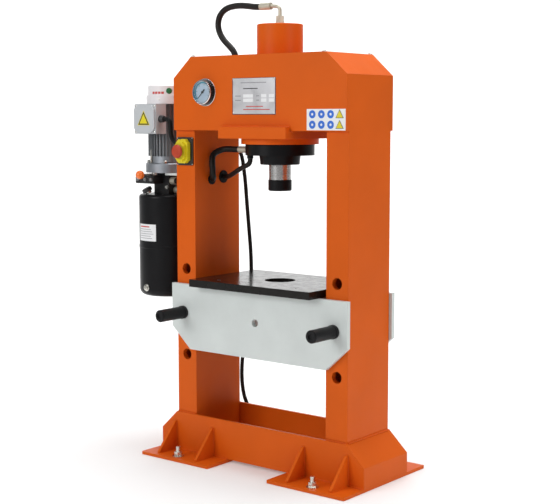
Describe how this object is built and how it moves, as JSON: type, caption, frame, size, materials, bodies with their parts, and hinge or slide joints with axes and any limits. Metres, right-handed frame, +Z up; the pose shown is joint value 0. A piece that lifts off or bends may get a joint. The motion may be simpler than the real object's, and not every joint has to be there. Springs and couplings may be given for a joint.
{
  "type": "hydraulic shop press",
  "caption": "Orange H-frame workshop press: electric pump on the side, hydraulic ram in the head, pinned grey table with a round hole, pressure gauge and stop switch.",
  "frame": {"origin": "on the floor, straight under the ram's axis, midway between the feet", "axes": "+X to the operator's right, +Y to the rear, +Z up; the ram moves down along -Z"},
  "size_m": [1.057, 0.583, 1.5605],
  "materials": {
    "orange_paint": "semi-gloss",
    "grey_paint": "satin",
    "table_steel": "oiled gloss",
    "black_paint": "satin",
    "pin_black": "matte, blackened",
    "zinc": "zinc plated",
    "chrome_rod": "ground and hard chromed",
    "bare_steel": "machined",
    "seal_rubber": "matte",
    "hose_rubber": "satin",
    "needle_black": "semi-gloss",
    "gauge_window": "clear",
    "switch_black": "matte",
    "switch_yellow": "semi-gloss",
    "button_red": "gloss",
    "button_green": "gloss",
    "knob_orange": "gloss",
    "box_grey": "fine texture",
    "fin_grey": "cast",
    "motor_grey": "satin",
    "aluminium_cast": "machined casting",
    "cap_black": "satin",
    "lead_rubber": "satin",
    "plug_red": "satin"
  },
  "bodies": {
    "frame": {"upright_left": "orange_paint", "upright_right": "orange_paint", "head_front_plate": "orange_paint", "head_rear_plate": "orange_paint", "head_cover": "orange_paint", "cylinder_plate": "orange_paint", "base_front_plate": "orange_paint", "base_rear_plate": "orange_paint", "base_end_plates": "orange_paint", "foot_plates": "orange_paint", "foot_gussets": "orange_paint", "cylinder_barrel": "orange_paint", "table_front_plate": "grey_paint", "table_rear_plate": "grey_paint", "table_spacers": "grey_paint", "unit_bracket": "grey_paint", "table_top_plate": "table_steel", "gland_flange": "black_paint", "pump_block": "black_paint", "valve_body": "black_paint", "oil_tank": "black_paint", "foot_bolts": "zinc", "hose_fittings": "zinc", "gland_screws": "zinc", "filler_neck": "zinc", "table_screws": "zinc", "gauge_case": "chrome_rod", "rod_seals": "seal_rubber", "hose_grommets": "seal_rubber", "advance_hose": "hose_rubber", "retract_hose": "hose_rubber", "return_hose": "hose_rubber", "gauge_glass": "gauge_window", "switch_base": "switch_black", "mains_gland": "switch_black", "conduit": "switch_black", "terminal_box": "box_grey", "terminal_lid": "box_grey", "motor_housing": "fin_grey", "motor_cowl": "motor_grey", "motor_flange": "aluminium_cast", "mains_lead": "lead_rubber", "mains_coil": "lead_rubber", "mains_plug": "plug_red"},
    "ram": {"ram_rod": "chrome_rod", "ram_nose": "black_paint", "piston": "bare_steel", "piston_seals": "seal_rubber"},
    "left_pin": {"table_pin_left": "pin_black"},
    "right_pin": {"table_pin_right": "pin_black"},
    "lever": {"valve_lever": "bare_steel", "lever_knob": "knob_orange"},
    "flap": {"switch_flap": "switch_yellow"},
    "stop": {"stop_button": "button_red"},
    "start": {"start_button": "button_green"},
    "needle": {"gauge_needle": "needle_black"},
    "rotor": {"motor_rotor": "bare_steel", "drive_gear": "bare_steel"},
    "idler": {"idler_gear": "bare_steel"},
    "filler": {"filler_cap": "cap_black"}
  },
  "joints": [
    {"name": "ram_slide", "type": "slide", "parent": "frame", "child": "ram", "axis": [0, 0, -1], "range_m": [0, 0.2]},
    {"name": "left_pin_slide", "type": "slide", "parent": "frame", "child": "left_pin", "axis": [0, -1, 0], "range_m": [0, 0.28]},
    {"name": "right_pin_slide", "type": "slide", "parent": "frame", "child": "right_pin", "axis": [0, -1, 0], "range_m": [0, 0.28]},
    {"name": "valve_lever_swing", "type": "hinge", "parent": "frame", "child": "lever", "pos_m": [-0.519, -0.066, 0.972], "axis": [0, 0, 1], "range_deg": [-30, 30], "stiffness_Nm_per_rad": 1.5},
    {"name": "switch_flap_hinge", "type": "hinge", "parent": "frame", "child": "flap", "pos_m": [-0.3215, -0.122, 1.0985], "axis": [-1, 0, 0], "range_deg": [0, 95]},
    {"name": "stop_button_press", "type": "slide", "parent": "flap", "child": "stop", "axis": [0, 1, 0], "range_m": [0, 0.005], "stiffness_N_per_m": 400, "springref_m": -0.002},
    {"name": "start_button_press", "type": "slide", "parent": "frame", "child": "start", "axis": [0, 1, 0], "range_m": [0, 0.003], "stiffness_N_per_m": 300, "springref_m": -0.002},
    {"name": "gauge_needle_turn", "type": "hinge", "parent": "frame", "child": "needle", "pos_m": [-0.2185, -0.142, 1.257], "axis": [0, 1, 0], "range_deg": [0, 270], "stiffness_Nm_per_rad": 0.004, "springref_deg": -17.19},
    {"name": "motor_turn", "type": "hinge", "parent": "frame", "child": "rotor", "pos_m": [-0.515, 0, 1.1], "axis": [0, 0, 1], "continuous": true},
    {"name": "idler_turn", "type": "hinge", "parent": "frame", "child": "idler", "pos_m": [-0.495, 0, 0.938], "axis": [0, 0, 1], "continuous": true},
    {"name": "filler_cap_turn", "type": "hinge", "parent": "frame", "child": "filler", "pos_m": [-0.544, -0.068, 0.9], "axis": [-0.2987, -0.3783, 0.8762], "continuous": true}
  ],
  "couplings": [
    {"joint": "idler_turn", "follows": "motor_turn", "ratio": -1}
  ]
}
